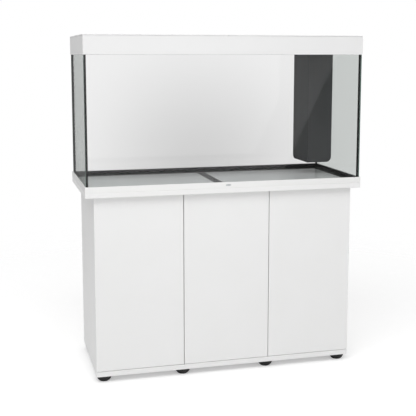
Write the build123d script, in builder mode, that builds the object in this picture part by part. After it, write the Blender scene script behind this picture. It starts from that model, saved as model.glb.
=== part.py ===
from build123d import *
import os

os.makedirs("parts", exist_ok=True)

# An aquarium on its cabinet, in millimetres. The origin is on the floor under the middle of the
# base trim: X to the right, Y to the back, Z up, so the doors face -Y.

# ---- Driving dimensions -------------------------------------------------------------------
LENGTH = 1210.0  # base trim and top board, left to right
DEPTH = 510.0  # base trim and top board, front to back
CABINET_WIDTH = 1135.0
CABINET_FRONT = -234.0  # face of the doors
CABINET_REAR = 240.0

FOOT_HEIGHT = 26.0
BOARD = 22.0  # thickness of the top and bottom boards
PANEL = 18.0  # thickness of the sides and partitions
BOARD_EDGE = 1.0  # rounding of the banded edges of boards and doors
TOP_BOARD_EDGE = 2.0
PANEL_EDGE = 0.5
CARCASS_HEIGHT = 745.0  # clear height between the two boards
TRIM_HEIGHT = 25.0
HOOD_BOTTOM = 1374.0
HOOD_TOP = 1455.0

DOOR_THICKNESS = 16.0
DOOR_GAP = 3.0  # between neighbouring doors
DOOR_END_GAP = 2.0  # above, below and behind each door
HINGE_INSET = 6.0  # pivot axis, in from the door's edge and from its face

GLASS_LENGTH = 1200.0
GLASS_DEPTH = 500.0
FRONT_GLASS = 10.0  # thickness of the front, rear and floor panes
SIDE_GLASS = 8.0
SEAM = 1.0  # silicone between two panes
GLASS_TOP = 1436.0

# ---- Levels worked out from them ----------------------------------------------------------
Z_FLOOR = FOOT_HEIGHT + BOARD
Z_CEILING = Z_FLOOR + CARCASS_HEIGHT
Z_TANK = Z_CEILING + BOARD
Z_TRIM = Z_TANK + TRIM_HEIGHT
DOOR_BACK = CABINET_FRONT + DOOR_THICKNESS
CARCASS_FRONT = DOOR_BACK + DOOR_END_GAP
DOOR_WIDTH = (CABINET_WIDTH - 2 * DOOR_GAP) / 3
HALF_LENGTH = LENGTH / 2
HALF_DEPTH = DEPTH / 2
HALF_CABINET = CABINET_WIDTH / 2
PARTITION_X = DOOR_WIDTH / 2 + DOOR_GAP / 2  # centre of each partition, behind a door gap

UP = (0, 0, 1)
DOWN = (0, 0, -1)
FROM_BASE = (Align.CENTER, Align.CENTER, Align.MIN)


# ---- Small helpers ------------------------------------------------------------------------
def write(builder, name):
    """Label a finished piece and write it as its own STEP file."""
    builder.part.label = name
    export_step(builder.part, f"parts/{name}.step")


def span(a, b):
    """Two values in rising order."""
    return (min(a, b), max(a, b))


def block(x_span, y_span, z_span, mode=Mode.ADD):
    """A rectangular block in the current part, given its low and high value on each axis."""
    spans = (x_span, y_span, z_span)
    size = [high - low for low, high in spans]
    centre = [(high + low) / 2 for low, high in spans]
    with Locations(tuple(centre)):
        Box(*size, mode=mode)


def rod(place, direction, radius, length, mode=Mode.ADD):
    """A round rod in the current part, from a point along a direction."""
    with Locations(Plane(origin=place, z_dir=direction)):
        Cylinder(radius, length, align=FROM_BASE, mode=mode)


def drill(places, direction, radius, depth):
    """Round holes in the current part, going in from each point along the direction."""
    for place in places:
        rod(place, direction, radius, depth, mode=Mode.SUBTRACT)


MITRE_GAP = 0.1  # each mitred end stops this far short of the diagonal


def mitred_bars(length, depth, width, z_low, z_high):
    """Four flat mitred bars in the current part, just inside a length x depth rectangle."""
    x = length / 2 - MITRE_GAP
    y = depth / 2 - MITRE_GAP
    low_x = -length / 2
    low_y = -depth / 2
    long_bar = [(-x, low_y), (x, low_y), (x - width, low_y + width), (width - x, low_y + width)]
    short_bar = [(low_x, -y), (low_x + width, width - y), (low_x + width, y - width), (low_x, y)]
    for outline in (long_bar, short_bar):
        for turn in (0, 180):
            with BuildSketch(Plane.XY.offset(z_low)) as section:
                with Locations(Rotation(0, 0, turn)):
                    Polygon(*outline, align=None)
            extrude(section.sketch, amount=z_high - z_low)


# ---- Cabinet carcass ----------------------------------------------------------------------
VERTICAL_X = (PANEL / 2 - HALF_CABINET, -PARTITION_X, PARTITION_X, HALF_CABINET - PANEL / 2)
DOWEL_Y = (-150.0, 170.0)
DOWEL_RADIUS = 4.0
DOWEL_DEPTH = 12.0  # into each of the two boards it joins
PIN_RADIUS = 2.5
PIN_CLEARANCE = 0.05
PIN_DEPTH = 12.0  # of a hinge pin, into the board and into its bush
HINGE_Y = CABINET_FRONT + HINGE_INSET
DOORS = {
    "left": (-HALF_CABINET, HINGE_INSET - HALF_CABINET),
    "middle": (-DOOR_WIDTH / 2, HINGE_INSET - DOOR_WIDTH / 2),
    "right": (HALF_CABINET - DOOR_WIDTH, HALF_CABINET - HINGE_INSET),
}  # each door's low edge and its pivot axis, along X
HINGE_X = [axis_x for _, axis_x in DOORS.values()]
FOOT_X = (-532.0, -189.0, 189.0, 532.0)
FOOT_Y = {"front": -196.0, "rear": 202.0}
FOOT_SCREW_RADIUS = 2.0
FOOT_SCREW_DEPTH = 15.0  # into the bottom board


def dowel_places(z):
    """The dowels' centres at a joint between a board and the four upright panels."""
    return [(x, y, z) for x in VERTICAL_X for y in DOWEL_Y]


with BuildPart() as top_board:
    block((-HALF_LENGTH, HALF_LENGTH), (-HALF_DEPTH, HALF_DEPTH), (Z_CEILING, Z_TANK))
    fillet(top_board.edges(), TOP_BOARD_EDGE)
    drill(dowel_places(Z_CEILING), UP, DOWEL_RADIUS, DOWEL_DEPTH)
    drill([(x, HINGE_Y, Z_CEILING) for x in HINGE_X], UP, PIN_RADIUS, PIN_DEPTH)
write(top_board, "top_board")

with BuildPart() as bottom_board:
    block((-HALF_CABINET, HALF_CABINET), (CABINET_FRONT, CABINET_REAR), (FOOT_HEIGHT, Z_FLOOR))
    fillet(bottom_board.edges(), BOARD_EDGE)
    drill(dowel_places(Z_FLOOR), DOWN, DOWEL_RADIUS, DOWEL_DEPTH)
    drill([(x, HINGE_Y, Z_FLOOR) for x in HINGE_X], DOWN, PIN_RADIUS, PIN_DEPTH)
    foot_places = [(x, y, FOOT_HEIGHT) for x in FOOT_X for y in FOOT_Y.values()]
    drill(foot_places, UP, FOOT_SCREW_RADIUS, FOOT_SCREW_DEPTH)
write(bottom_board, "bottom_board")

SHELF_PIN_RADIUS = 2.5
SHELF_PIN_DEPTH = 10.0  # into the panel
SHELF_PIN_REACH = 8.0  # under the shelf
SHELF_UNDER = 414.0
SHELF = 16.0
SHELF_FRONT = -196.0
SHELF_REAR = 228.0
SHELF_PIN_Y = (-160.0, 190.0)
SHELF_PIN_Z = SHELF_UNDER - SHELF_PIN_RADIUS
uprights = {
    "side_panel_left": (VERTICAL_X[0], [1]),
    "partition_left": (VERTICAL_X[1], [-1]),
    "partition_right": (VERTICAL_X[2], [1]),
    "side_panel_right": (VERTICAL_X[3], [-1]),
}  # each upright's centre, and the side where it carries a shelf


def shelf_pin_places(centre_x, side):
    """Where the shelf pins enter the face of an upright panel."""
    return [(centre_x + side * PANEL / 2, y, SHELF_PIN_Z) for y in SHELF_PIN_Y]


for name, (centre_x, shelf_sides) in uprights.items():
    with BuildPart() as upright:
        block(
            (centre_x - PANEL / 2, centre_x + PANEL / 2),
            (CARCASS_FRONT, CABINET_REAR),
            (Z_FLOOR, Z_CEILING),
        )
        chamfer(upright.edges().filter_by(Axis.Z), PANEL_EDGE)
        drill(dowel_places(Z_FLOOR), UP, DOWEL_RADIUS, DOWEL_DEPTH)
        drill(dowel_places(Z_CEILING), DOWN, DOWEL_RADIUS, DOWEL_DEPTH)
        for side in shelf_sides:
            drill(shelf_pin_places(centre_x, side), (-side, 0, 0), SHELF_PIN_RADIUS, SHELF_PIN_DEPTH)
    write(upright, name)

with BuildPart() as carcass_dowels:
    for level in (Z_FLOOR, Z_CEILING):
        for x, y, z in dowel_places(level):
            rod((x, y, z - DOWEL_DEPTH), UP, DOWEL_RADIUS, 2 * DOWEL_DEPTH)
write(carcass_dowels, "carcass_dowels")

with BuildPart() as shelf_pins:
    for centre_x, shelf_sides in uprights.values():
        for side in shelf_sides:
            for x, y, z in shelf_pin_places(centre_x, side):
                start = (x - side * SHELF_PIN_DEPTH, y, z)
                rod(start, (side, 0, 0), SHELF_PIN_RADIUS, SHELF_PIN_DEPTH + SHELF_PIN_REACH)
write(shelf_pins, "shelf_pins")

SHELF_END_GAP = 0.5
bay_inner = PARTITION_X + PANEL / 2
bay_outer = HALF_CABINET - PANEL
for name, side in (("shelf_left", -1), ("shelf_right", 1)):
    with BuildPart() as shelf:
        block(
            span(side * (bay_inner + SHELF_END_GAP), side * (bay_outer - SHELF_END_GAP)),
            (SHELF_FRONT, SHELF_REAR),
            (SHELF_UNDER, SHELF_UNDER + SHELF),
        )
        chamfer(shelf.edges().filter_by(Axis.X), PANEL_EDGE)
    write(shelf, name)

# The back of each bay stops short of the top board and leaves a slot for hoses and cables.
BACK_PANEL = 6.0
HOSE_SLOT = 60.0
bays = {
    "back_panel_left": (-bay_outer, -bay_inner),
    "back_panel_middle": (PANEL / 2 - PARTITION_X, PARTITION_X - PANEL / 2),
    "back_panel_right": (bay_inner, bay_outer),
}
for name, x_span in bays.items():
    with BuildPart() as back_panel:
        block(x_span, (CABINET_REAR - BACK_PANEL, CABINET_REAR), (Z_FLOOR, Z_CEILING - HOSE_SLOT))
        chamfer(back_panel.edges().group_by(Axis.Z)[-1].filter_by(Axis.X), PANEL_EDGE)
    write(back_panel, name)

# ---- Doors on corner pivot pins -----------------------------------------------------------
BUSH_RADIUS = 4.0
BUSH_LENGTH = 14.0
BUSH_BORE = PIN_RADIUS + PIN_CLEARANCE
COLLAR_GAP = 0.2  # between a pin's collar and the door's bush
COLLAR_HEIGHT = DOOR_END_GAP - COLLAR_GAP
DOOR_BOTTOM = Z_FLOOR + DOOR_END_GAP
DOOR_TOP = Z_CEILING - DOOR_END_GAP

for place, (low_x, axis_x) in DOORS.items():
    bush_mouths = (((axis_x, HINGE_Y, DOOR_BOTTOM), UP), ((axis_x, HINGE_Y, DOOR_TOP), DOWN))
    with BuildPart() as door:
        block((low_x, low_x + DOOR_WIDTH), (CABINET_FRONT, DOOR_BACK), (DOOR_BOTTOM, DOOR_TOP))
        fillet(door.edges(), BOARD_EDGE)
        for mouth, inwards in bush_mouths:
            drill([mouth], inwards, BUSH_RADIUS, BUSH_LENGTH)
    write(door, f"door_{place}")

    with BuildPart() as door_bushes:
        for mouth, inwards in bush_mouths:
            rod(mouth, inwards, BUSH_RADIUS, BUSH_LENGTH)
            drill([mouth], inwards, BUSH_BORE, BUSH_LENGTH)
    write(door_bushes, f"door_bushes_{place}")

with BuildPart() as door_pins:
    for x in HINGE_X:
        for z, outwards, inwards in ((Z_FLOOR, DOWN, UP), (Z_CEILING, UP, DOWN)):
            rod((x, HINGE_Y, z), outwards, PIN_RADIUS, PIN_DEPTH)
            rod((x, HINGE_Y, z), inwards, PIN_RADIUS, PIN_DEPTH + DOOR_END_GAP)
            rod((x, HINGE_Y, z), inwards, BUSH_RADIUS, COLLAR_HEIGHT)
write(door_pins, "door_pins")

# ---- Push latches behind the doors' free edges ---------------------------------------------
LATCH_FROM_EDGE = 24.0  # plunger, in from the partition's centre
LATCH_X = {
    "left": -PARTITION_X - LATCH_FROM_EDGE,
    "middle": PARTITION_X - LATCH_FROM_EDGE,
    "right": PARTITION_X + LATCH_FROM_EDGE,
}
LATCH_WIDTH = 14.0
LATCH_LENGTH = 52.0
LATCH_HEIGHT = 16.0
LATCH_Z = Z_CEILING - LATCH_HEIGHT / 2
LATCH_SETBACK = 5.0
LATCH_FRONT = CARCASS_FRONT + LATCH_SETBACK
LATCH_EDGE = 2.0
LATCH_BORE_DEPTH = 44.0
PLUNGER_RADIUS = 3.0
PLUNGER_TIP_RADIUS = 5.0
PLUNGER_TIP = 2.0
PLUNGER_TIP_EDGE = 0.8
PLUNGER_LENGTH = 36.0
PLUNGER_GAP = 0.3  # between the tip and the closed door
PLUNGER_TIP_FRONT = DOOR_BACK + PLUNGER_GAP

with BuildPart() as latch_bodies:
    for x in LATCH_X.values():
        block(
            (x - LATCH_WIDTH / 2, x + LATCH_WIDTH / 2),
            (LATCH_FRONT, LATCH_FRONT + LATCH_LENGTH),
            (Z_CEILING - LATCH_HEIGHT, Z_CEILING),
        )
    fillet(latch_bodies.edges().filter_by(Axis.Y).group_by(Axis.Z)[0], LATCH_EDGE)
    mouths = [(x, LATCH_FRONT, LATCH_Z) for x in LATCH_X.values()]
    drill(mouths, (0, 1, 0), PLUNGER_RADIUS + PIN_CLEARANCE, LATCH_BORE_DEPTH)
write(latch_bodies, "latch_bodies")

for place, x in LATCH_X.items():
    with BuildPart() as plunger:
        rod((x, PLUNGER_TIP_FRONT, LATCH_Z), (0, 1, 0), PLUNGER_TIP_RADIUS, PLUNGER_TIP)
        fillet(plunger.edges().sort_by(Axis.Y)[0], PLUNGER_TIP_EDGE)
        rod((x, PLUNGER_TIP_FRONT, LATCH_Z), (0, 1, 0), PLUNGER_RADIUS, PLUNGER_LENGTH)
    write(plunger, f"latch_plunger_{place}")

# ---- Feet ---------------------------------------------------------------------------------
FOOT_TOP_RADIUS = 34.0
FOOT_BOTTOM_RADIUS = 20.0
FOOT_WAIST_RADIUS = 31.0  # half way up, so the side bulges like a bowl
SCREW_HEAD_RADIUS = 4.0
SCREW_HEAD = 3.0
SCREW_HEAD_DEPTH = 10.0  # of the counterbore, up from the floor

for place, foot_y in FOOT_Y.items():
    with BuildPart() as feet:
        for foot_x in FOOT_X:
            foot_plane = Plane(origin=(foot_x, foot_y, 0), x_dir=(1, 0, 0), z_dir=(0, -1, 0))
            with BuildSketch(foot_plane) as profile:
                with BuildLine():
                    Polyline((0, FOOT_HEIGHT), (0, 0), (FOOT_BOTTOM_RADIUS, 0))
                    ThreePointArc(
                        (FOOT_BOTTOM_RADIUS, 0),
                        (FOOT_WAIST_RADIUS, FOOT_HEIGHT / 2),
                        (FOOT_TOP_RADIUS, FOOT_HEIGHT),
                    )
                    Line((FOOT_TOP_RADIUS, FOOT_HEIGHT), (0, FOOT_HEIGHT))
                make_face()
            revolve(profile.sketch, axis=Axis((foot_x, foot_y, 0), UP))
            drill([(foot_x, foot_y, 0)], UP, FOOT_SCREW_RADIUS, FOOT_HEIGHT)
            drill([(foot_x, foot_y, 0)], UP, SCREW_HEAD_RADIUS, SCREW_HEAD_DEPTH)
    write(feet, f"{place}_feet")

with BuildPart() as foot_screws:
    for x, y, z in foot_places:
        shank = FOOT_HEIGHT - SCREW_HEAD_DEPTH + FOOT_SCREW_DEPTH
        rod((x, y, SCREW_HEAD_DEPTH - SCREW_HEAD), UP, SCREW_HEAD_RADIUS, SCREW_HEAD)
        rod((x, y, SCREW_HEAD_DEPTH), UP, FOOT_SCREW_RADIUS, shank)
write(foot_screws, "foot_screws")

# ---- Tank base: black inner frame and white outer trim --------------------------------------
TRIM_WALL = 2.4
TRIM_LIP = 1.5
LEDGE = 3.0  # thickness of the frame's ledge under the glass
LEDGE_WIDTH = 14.5
FRAME_CLEARANCE = 0.3  # between the frame's upstand and the glass
CROSS_BAR_WIDTH = 33.0
GLASS_BOTTOM = Z_TANK + LEDGE
frame_length = LENGTH - 2 * TRIM_WALL
frame_depth = DEPTH - 2 * TRIM_WALL
upstand = (frame_length - GLASS_LENGTH) / 2 - FRAME_CLEARANCE
lip_width = (LENGTH - GLASS_LENGTH) / 2 - FRAME_CLEARANCE
BADGE_LENGTH = 24.0
BADGE_HEIGHT = 8.0
BADGE_DEPTH = 0.8
BADGE_EDGE = 0.3
badge_centre = (0, -HALF_DEPTH, Z_TANK + TRIM_HEIGHT / 2)
badge_plane = Plane(origin=badge_centre, x_dir=(1, 0, 0), z_dir=(0, -1, 0))

with BuildPart() as base_trim:
    mitred_bars(LENGTH, DEPTH, TRIM_WALL, Z_TANK, Z_TRIM)
    mitred_bars(LENGTH, DEPTH, lip_width, Z_TRIM - TRIM_LIP, Z_TRIM)
    with BuildSketch(badge_plane) as badge_recess:
        Ellipse(BADGE_LENGTH / 2, BADGE_HEIGHT / 2)
    extrude(badge_recess.sketch, amount=-BADGE_DEPTH, mode=Mode.SUBTRACT)
write(base_trim, "base_trim")

with BuildPart() as badge:
    with BuildSketch(badge_plane):
        Ellipse(BADGE_LENGTH / 2, BADGE_HEIGHT / 2)
    extrude(amount=-BADGE_DEPTH)
    fillet(badge.edges().sort_by(Axis.Y)[0], BADGE_EDGE)
write(badge, "badge")

with BuildPart() as base_frame:
    mitred_bars(frame_length, frame_depth, LEDGE_WIDTH, Z_TANK, GLASS_BOTTOM)
    mitred_bars(frame_length, frame_depth, upstand, Z_TANK, Z_TRIM - TRIM_LIP)
    bar_reach = frame_depth / 2 - LEDGE_WIDTH - MITRE_GAP
    bar_half = CROSS_BAR_WIDTH / 2
    block((-bar_half, bar_half), (-bar_reach, bar_reach), (Z_TANK, GLASS_BOTTOM))
write(base_frame, "base_frame")

# ---- Glass ----------------------------------------------------------------------------------
glass_x = GLASS_LENGTH / 2
glass_y = GLASS_DEPTH / 2
inner_x = glass_x - SIDE_GLASS
inner_y = glass_y - FRONT_GLASS
FLOOR_TOP = GLASS_BOTTOM + FRONT_GLASS
ARRIS = 0.6  # ground edge of a pane
full_length = (-glass_x, glass_x)
between_panes = (SEAM - inner_y, inner_y - SEAM)
full_height = (GLASS_BOTTOM, GLASS_TOP)
panes = {
    "front_pane": (full_length, (-glass_y, -inner_y), full_height),
    "rear_pane": (full_length, (inner_y, glass_y), full_height),
    "side_pane_left": ((-glass_x, -inner_x), between_panes, full_height),
    "side_pane_right": ((inner_x, glass_x), between_panes, full_height),
    "floor_pane": ((SEAM - inner_x, inner_x - SEAM), between_panes, (GLASS_BOTTOM, FLOOR_TOP)),
}
for name, (x_span, y_span, z_span) in panes.items():
    with BuildPart() as pane:
        block(x_span, y_span, z_span)
        chamfer(pane.edges(), ARRIS)
    write(pane, name)

with BuildPart() as corner_seams:
    for side_x in (-1, 1):
        for side_y in (-1, 1):
            block(
                span(side_x * inner_x, side_x * glass_x),
                span(side_y * (inner_y - SEAM), side_y * inner_y),
                (GLASS_BOTTOM, GLASS_TOP),
            )
write(corner_seams, "corner_seams")

with BuildPart() as floor_seams:
    mitred_bars(2 * inner_x, 2 * inner_y, SEAM, GLASS_BOTTOM, FLOOR_TOP)
write(floor_seams, "floor_seams")

# ---- Hood: skirt, ledge, rails --------------------------------------------------------------
HOOD_LENGTH = 1205.0
HOOD_DEPTH = 505.0
SKIRT = 2.2
SKIRT_TOP = 1450.0
HOOD_LEDGE = 4.0
HOOD_LEDGE_WIDTH = 24.0
RAIL_INNER = 61.0
RAIL_OUTER = 71.0
RAIL_TOP = 1452.0
skirt_inner_x = HOOD_LENGTH / 2 - SKIRT
skirt_inner_y = HOOD_DEPTH / 2 - SKIRT
ledge_top = GLASS_TOP + HOOD_LEDGE
rail_reach = skirt_inner_x - FRAME_CLEARANCE

FLAP_AXIS_Y = 76.0
FLAP_AXIS_Z = 1450.5
BARREL_RADIUS = 4.0
BARREL_LENGTH = 30.0
EAR_GAP = 0.5
EAR = 5.0
FLAP_HINGE_X = (120.0, 480.0)
FLAP_PIN_RADIUS = 2.0
EAR_CLEARANCE = 0.1
EAR_RADIUS = BARREL_RADIUS - EAR_CLEARANCE
ear_start = BARREL_LENGTH / 2 + EAR_GAP
hinge_centres = [
    (side_x * x, side_y * FLAP_AXIS_Y) for side_x in (-1, 1) for side_y in (-1, 1) for x in FLAP_HINGE_X
]

with BuildPart() as hood_skirt:
    mitred_bars(HOOD_LENGTH, HOOD_DEPTH, SKIRT, HOOD_BOTTOM, SKIRT_TOP)
write(hood_skirt, "hood_skirt")

with BuildPart() as hood_ledge:
    mitred_bars(2 * skirt_inner_x, 2 * skirt_inner_y, HOOD_LEDGE_WIDTH, GLASS_TOP, ledge_top)
write(hood_ledge, "hood_ledge")

with BuildPart() as hood_rails:
    for side_y in (-1, 1):
        rail_y = span(side_y * RAIL_INNER, side_y * RAIL_OUTER)
        block((-rail_reach, rail_reach), rail_y, (ledge_top, RAIL_TOP))
    for x, y in hinge_centres:
        side_y = y / FLAP_AXIS_Y
        for ear_side in (-1, 1):
            ear_x = span(x + ear_side * ear_start, x + ear_side * (ear_start + EAR))
            block(ear_x, span(side_y * RAIL_OUTER, y), (FLAP_AXIS_Z - EAR_RADIUS, RAIL_TOP))
            rod((ear_x[0], y, FLAP_AXIS_Z), (1, 0, 0), EAR_RADIUS, EAR)
        ear_end = x - ear_start - EAR
        pin_length = 2 * (ear_start + EAR)
        drill([(ear_end, y, FLAP_AXIS_Z)], (1, 0, 0), FLAP_PIN_RADIUS, pin_length)
write(hood_rails, "hood_rails")

with BuildPart() as flap_pins:
    for x, y in hinge_centres:
        rod((x - ear_start - EAR, y, FLAP_AXIS_Z), (1, 0, 0), FLAP_PIN_RADIUS, 2 * (ear_start + EAR))
write(flap_pins, "flap_pins")

# ---- Hood flaps -----------------------------------------------------------------------------
FLAP_PLATE = 4.0
FLAP_GAP = 1.0  # half the gap between the left and right flaps
FLAP_WALL = 3.0
FLAP_WALL_INSET = 0.8  # from the skirt's inner face
FLAP_WALL_LIFT = 0.5  # clear of the ledge
FLAP_WALL_BOTTOM = ledge_top + FLAP_WALL_LIFT
FLAP_EDGE = 1.2
flap_under = HOOD_TOP - FLAP_PLATE
NOTCH = EAR + 2 * EAR_GAP
wall_x = skirt_inner_x - FLAP_WALL_INSET
wall_y = skirt_inner_y - FLAP_WALL_INSET
wall_rear = FLAP_AXIS_Y + 2 * BARREL_RADIUS
notch_y = (FLAP_AXIS_Y - 1, FLAP_AXIS_Y + BARREL_RADIUS + 1)

for flap_end, side_y in (("front", -1), ("rear", 1)):
    for flap_side, side_x in (("left", -1), ("right", 1)):
        with BuildPart() as flap:
            block(
                span(side_x * FLAP_GAP, side_x * HOOD_LENGTH / 2),
                span(side_y * FLAP_AXIS_Y, side_y * HOOD_DEPTH / 2),
                (flap_under, HOOD_TOP),
            )
            fillet(flap.faces().sort_by(Axis.Z)[-1].edges(), FLAP_EDGE)
            block(
                span(side_x * 2 * FLAP_GAP, side_x * wall_x),
                span(side_y * (wall_y - FLAP_WALL), side_y * wall_y),
                (FLAP_WALL_BOTTOM, flap_under),
            )
            for wall_low in (2 * FLAP_GAP, wall_x - FLAP_WALL):
                block(
                    span(side_x * wall_low, side_x * (wall_low + FLAP_WALL)),
                    span(side_y * wall_rear, side_y * wall_y),
                    (FLAP_WALL_BOTTOM, flap_under),
                )
            for hinge_x in FLAP_HINGE_X:
                centre = side_x * hinge_x
                barrel_start = (centre - BARREL_LENGTH / 2, side_y * FLAP_AXIS_Y, FLAP_AXIS_Z)
                rod(barrel_start, (1, 0, 0), BARREL_RADIUS, BARREL_LENGTH)
                bore = FLAP_PIN_RADIUS + PIN_CLEARANCE
                drill([barrel_start], (1, 0, 0), bore, BARREL_LENGTH)
                for ear_side in (-1, 1):
                    notch_low = centre + ear_side * (BARREL_LENGTH / 2)
                    block(
                        span(notch_low, notch_low + ear_side * NOTCH),
                        span(side_y * notch_y[0], side_y * notch_y[1]),
                        (flap_under - 1, HOOD_TOP + 1),
                        mode=Mode.SUBTRACT,
                    )
        write(flap, f"{flap_end}_flap_{flap_side}")

# ---- Light unit between the rails -------------------------------------------------------------
LIGHT_HALF_LENGTH = 575.0
LIGHT_HALF_WIDTH = 60.3
LIGHT_BOTTOM = 1424.0
LIGHT_WALL = 3.0
LIGHT_FLANGE = 70.3  # half width of the top plate, which lies on the rails
DIFFUSER = 3.0
LED_BOARD = 1.6
LED_BOARD_Y = (20.0, 34.0)
LED_BOARD_REACH = 545.0
CAP_GAP = 0.5
cavity_x = LIGHT_HALF_LENGTH - LIGHT_WALL
cavity_y = LIGHT_HALF_WIDTH - LIGHT_WALL
cavity_top = HOOD_TOP - 2 * LIGHT_WALL

with BuildPart() as light_housing:
    block(
        (-LIGHT_HALF_LENGTH, LIGHT_HALF_LENGTH),
        (-LIGHT_HALF_WIDTH, LIGHT_HALF_WIDTH),
        (LIGHT_BOTTOM, RAIL_TOP),
    )
    block((-cavity_x, cavity_x), (-cavity_y, cavity_y), (LIGHT_BOTTOM, cavity_top), mode=Mode.SUBTRACT)
    block(
        (-LIGHT_HALF_LENGTH, LIGHT_HALF_LENGTH),
        (-LIGHT_FLANGE, LIGHT_FLANGE),
        (RAIL_TOP, HOOD_TOP),
    )
    fillet(light_housing.edges().filter_by(Axis.X).group_by(Axis.Z)[-1], FLAP_EDGE)
write(light_housing, "light_housing")

with BuildPart() as light_diffuser:
    block((-cavity_x, cavity_x), (-cavity_y, cavity_y), (LIGHT_BOTTOM, LIGHT_BOTTOM + DIFFUSER))
write(light_diffuser, "light_diffuser")

with BuildPart() as led_strips:
    for side_y in (-1, 1):
        board_y = span(side_y * LED_BOARD_Y[0], side_y * LED_BOARD_Y[1])
        block((-LED_BOARD_REACH, LED_BOARD_REACH), board_y, (cavity_top - LED_BOARD, cavity_top))
write(led_strips, "led_strips")

with BuildPart() as light_end_caps:
    for side_x in (-1, 1):
        cap_low = LIGHT_HALF_LENGTH + CAP_GAP
        block(
            span(side_x * cap_low, side_x * rail_reach),
            (-LIGHT_HALF_WIDTH, LIGHT_HALF_WIDTH),
            (ledge_top, RAIL_TOP),
        )
        block(
            span(side_x * cap_low, side_x * HOOD_LENGTH / 2),
            (-LIGHT_FLANGE, LIGHT_FLANGE),
            (RAIL_TOP, HOOD_TOP),
        )
write(light_end_caps, "light_end_caps")

# ---- Corner filter ------------------------------------------------------------------------------
# A tall box glued into the right rear corner. A divider parts the basket's chamber, in front, from
# the heater's behind it, and a shelf over the heater's chamber carries the pump.
PAD = 2.0  # silicone between the filter and the glass
FILTER_WIDTH = 119.0
FILTER_DEPTH = 196.0
FILTER_BOTTOM = 872.0
FILTER_TOP = 1415.0
FILTER_WALL = 3.0
FILTER_ROUND = 24.0  # of the bottom edges at the right and at the rear
FILTER_EDGE = 1.5  # of the upright edges
FRONT_CHAMBER = 105.0  # from the box's front face to the divider
DIVIDER_DROP = 8.0  # of the divider's top, below the rim
FLOW_SLOT = 18.0  # height of the slot under the divider, between the two chambers
FLOW_SLOT_INSET = 24.0
PUMP_SHELF_TOP = 1366.0
RIB = 4.0  # two ribs on the floor carry the basket
RIB_HEIGHT = 25.0
RIB_FROM_SIDE = 30.0
RIB_FROM_END = 20.0
SLOT_WIDTH = 4.0  # of the comb of intake slots near the rim
SLOT_HEIGHT = 26.0
SLOT_PITCH = 8.0
SLOT_DROP = 12.0
INTAKE_SLOTS = 9
OVERCUT = 1.0  # how far a cut runs past the wall that it goes through
filter_x = (inner_x - PAD - FILTER_WIDTH, inner_x - PAD)
filter_y = (inner_y - PAD - FILTER_DEPTH, inner_y - PAD)
chamber_x = (filter_x[0] + FILTER_WALL, filter_x[1] - FILTER_WALL)
divider_y = (filter_y[0] + FRONT_CHAMBER, filter_y[0] + FRONT_CHAMBER + FILTER_WALL)
front_chamber_y = (filter_y[0] + FILTER_WALL, divider_y[0])
rear_chamber_y = (divider_y[1], filter_y[1] - FILTER_WALL)
chamber_floor = FILTER_BOTTOM + FILTER_WALL
chamber_round = FILTER_ROUND - FILTER_WALL
rib_top = FILTER_BOTTOM + RIB_HEIGHT

PUMP_Y = 200.0
PUMP_Z = 1391.0
OUTLET_RADIUS = 10.0
OUTLET_CLEARANCE = 0.1
HEATER_X = filter_x[0] + 17.0
HEATER_Y = filter_y[0] + 126.0
HEATER_RADIUS = 11.0
HEATER_CLEARANCE = 0.5


def rounded_block(x_span, y_span, z_span, radius, sides):
    """A block with its bottom edge rounded at the high end of each given axis."""
    with BuildPart() as rounded:
        block(x_span, y_span, z_span)
        base_edges = rounded.faces().sort_by(Axis.Z)[0].edges()
        fillet([base_edges.sort_by(side)[-1] for side in sides], radius)
    return rounded.part


filter_shell = rounded_block(
    filter_x, filter_y, (FILTER_BOTTOM, FILTER_TOP), FILTER_ROUND, (Axis.X, Axis.Y)
)
front_chamber = rounded_block(
    chamber_x, front_chamber_y, (chamber_floor, FILTER_TOP), chamber_round, (Axis.X,)
)
rear_chamber = rounded_block(
    chamber_x,
    rear_chamber_y,
    (chamber_floor, PUMP_SHELF_TOP - FILTER_WALL),
    chamber_round,
    (Axis.X, Axis.Y),
)

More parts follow.
